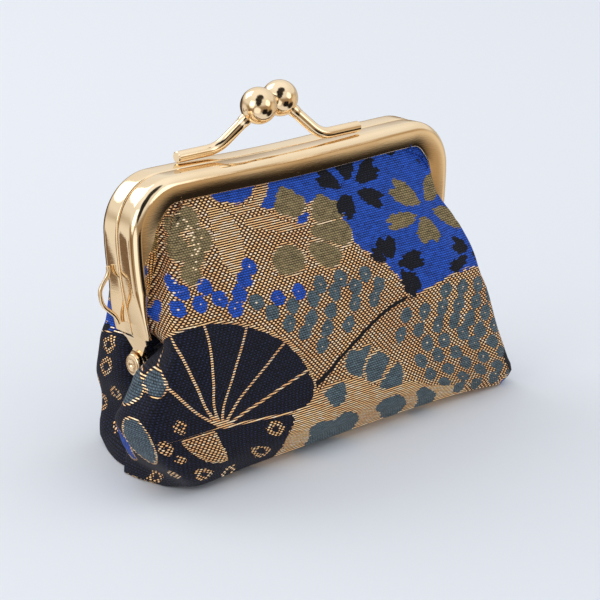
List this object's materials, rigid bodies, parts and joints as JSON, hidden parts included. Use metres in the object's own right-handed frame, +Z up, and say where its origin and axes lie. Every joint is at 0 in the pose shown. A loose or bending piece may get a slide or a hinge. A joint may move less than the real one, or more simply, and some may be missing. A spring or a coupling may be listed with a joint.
{
  "type": "clasp purse",
  "caption": "Small brocade coin purse with a riveted metal channel frame, a kiss lock of two crossing balls on bent rods, a lined pouch with boxed corners and a loop for a chain.",
  "frame": {"origin": "middle of the purse's footprint, on the surface it stands on", "axes": "+X across the frame, +Y towards the back, +Z up; the front with the crossed clasp faces -Y"},
  "size_m": [0.0886, 0.0382, 0.0681],
  "materials": {
    "gold_plate": "polished pale gold plating",
    "brocade": "figured brocade with metallic thread",
    "lining_cloth": "plain woven lining",
    "paper_cord": "twisted paper cord"
  },
  "bodies": {
    "pouch": {"outer_front_panel": "brocade", "outer_back_panel": "brocade", "front_lining_panel": "lining_cloth", "back_lining_panel": "lining_cloth", "left_rivet": "gold_plate", "right_rivet": "gold_plate"},
    "front_jaw": {"front_frame": "gold_plate", "front_clasp_arm": "gold_plate", "front_clasp_ball": "gold_plate", "front_paper_cord": "paper_cord"},
    "back_jaw": {"back_frame": "gold_plate", "back_clasp_arm": "gold_plate", "back_clasp_ball": "gold_plate", "chain_loop": "gold_plate", "back_paper_cord": "paper_cord"}
  },
  "joints": [
    {"name": "front_jaw_hinge", "type": "hinge", "parent": "pouch", "child": "front_jaw", "pos_m": [0, 0, 0.0205], "axis": [1, 0, 0], "range_deg": [0, 45], "deforming": ["outer_front_panel", "front_lining_panel"]},
    {"name": "back_jaw_hinge", "type": "hinge", "parent": "pouch", "child": "back_jaw", "pos_m": [0, 0, 0.0205], "axis": [-1, 0, 0], "range_deg": [0, 45], "deforming": ["outer_back_panel", "back_lining_panel"]}
  ]
}
